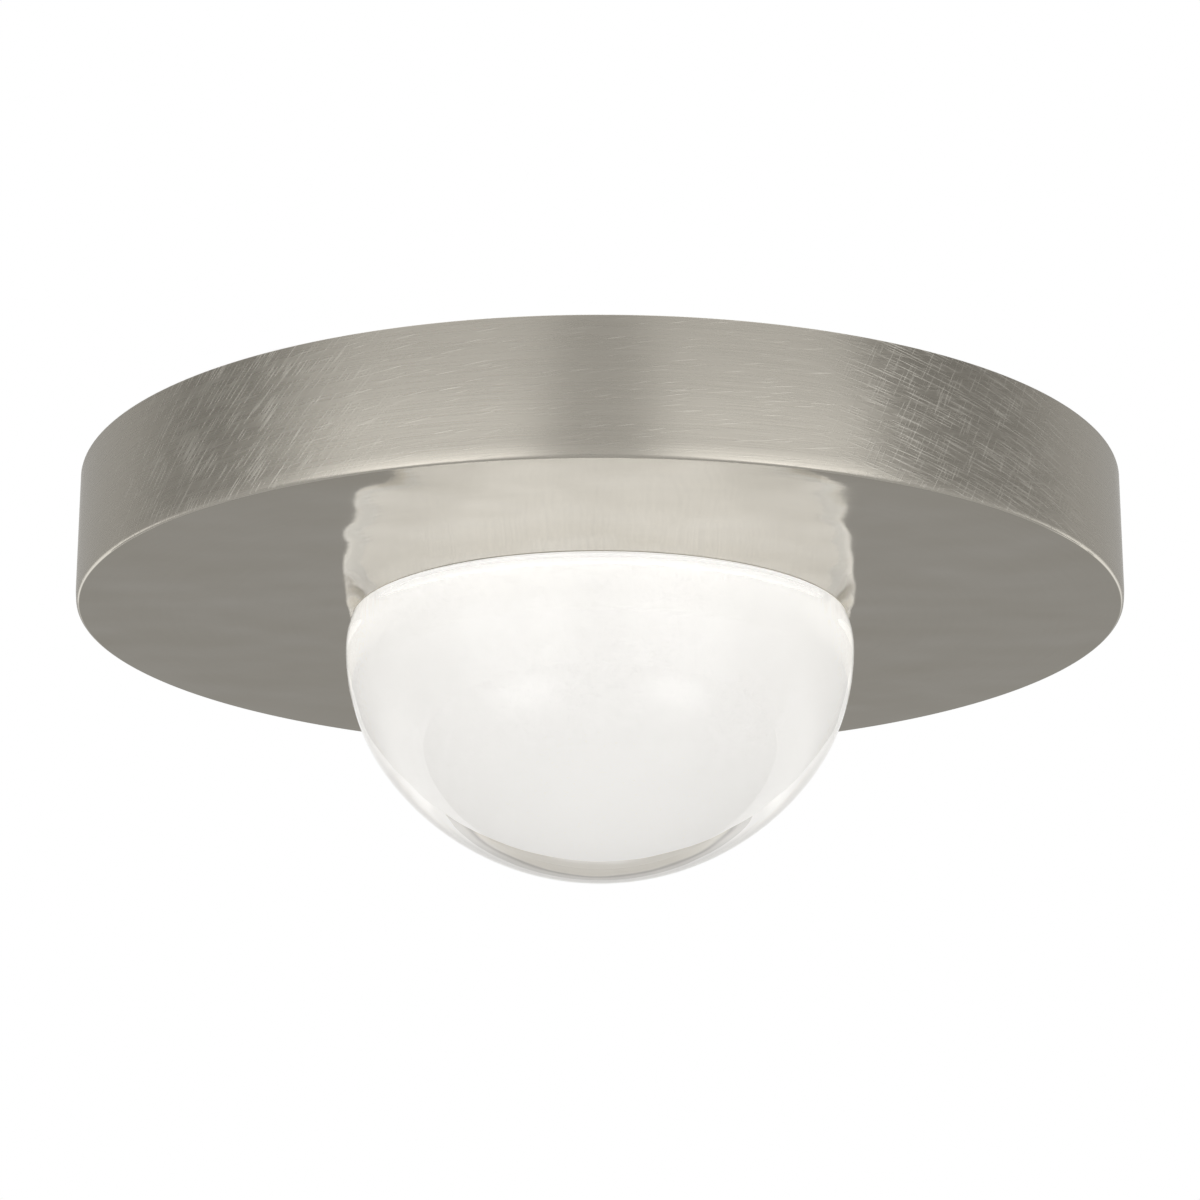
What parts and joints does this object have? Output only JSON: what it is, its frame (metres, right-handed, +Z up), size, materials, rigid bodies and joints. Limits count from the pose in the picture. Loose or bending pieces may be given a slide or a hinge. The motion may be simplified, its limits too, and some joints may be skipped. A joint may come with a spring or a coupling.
{
  "type": "flush mount ceiling light",
  "caption": "Round flush mount ceiling light: shallow brushed nickel pan with a thick clear glass dome, frosted inside, that unlocks by a twist.",
  "frame": {"origin": "centre of the outlet box screw pattern in the ceiling plane, on the light's axis", "axes": "+Z up into the ceiling, the light hangs towards -Z; +X along the line of the two box screws; the viewer of the picture stands on the -Y side"},
  "size_m": [0.305, 0.305, 0.1141],
  "materials": {
    "brushed_nickel": "fine horizontal brushing, satin, light scratches",
    "zinc_steel": "zinc plated",
    "plated_bracket": "zinc plated, rolled sheet",
    "aluminium": "mill finish",
    "crystal_glass": "clear polished outside, sandblasted cavity",
    "clear_silicone": "translucent, matt",
    "grey_silicone": "matt, ceramic filled",
    "black_rubber": "matt",
    "white_board": "white solder mask on a metal core",
    "phosphor": "yellow phosphor",
    "reflector_white": "white diffuse sheet",
    "driver_plastic": "white moulded, fine texture",
    "green_board": "green solder mask",
    "ferrite": "dark ferrite with yellow tape",
    "capacitor_sleeve": "printed-free dark sleeve",
    "terminal_plastic": "ivory moulded",
    "brass": "turned",
    "green_screw": "green dyed zinc",
    "tinned_copper": "tin plated",
    "red_black_leads": "silicone insulation",
    "white_black_leads": "silicone insulation",
    "green_lead": "silicone insulation"
  },
  "bodies": {
    "pan": {"canopy_pan": "brushed_nickel", "plate_studs": "zinc_steel", "bayonet_ring": "plated_bracket", "ring_spacers": "aluminium", "heat_plate": "aluminium", "plate_nuts": "zinc_steel", "heat_sink": "aluminium", "thermal_pad": "grey_silicone", "led_board": "white_board", "led_chips": "phosphor", "led_screws": "zinc_steel", "reflector_sheet": "reflector_white", "lead_grommet": "black_rubber", "lead_clip": "driver_plastic", "mounting_bracket": "plated_bracket", "hanger_studs": "zinc_steel", "hanger_lock_nuts": "zinc_steel", "hanger_washers": "zinc_steel", "hanger_nuts": "brass", "bracket_ground_screw": "green_screw", "driver_case": "driver_plastic", "driver_lid": "driver_plastic", "driver_lid_screws": "zinc_steel", "driver_board": "green_board", "driver_transformer": "ferrite", "driver_capacitors": "capacitor_sleeve", "terminal_block": "terminal_plastic", "terminal_screws": "brass", "pan_studs": "zinc_steel", "stud_nuts": "zinc_steel", "ground_lug": "tinned_copper", "led_leads": "red_black_leads", "supply_leads": "white_black_leads", "ground_lead": "green_lead"},
    "dome": {"glass_dome": "crystal_glass", "dome_collar": "aluminium", "dome_bond": "clear_silicone", "dome_gasket": "clear_silicone"}
  },
  "joints": [
    {"name": "dome_twist", "type": "hinge", "parent": "pan", "child": "dome", "pos_m": [0, 0, -0.0341], "axis": [0, 0, -1], "range_deg": [0, 40]}
  ]
}
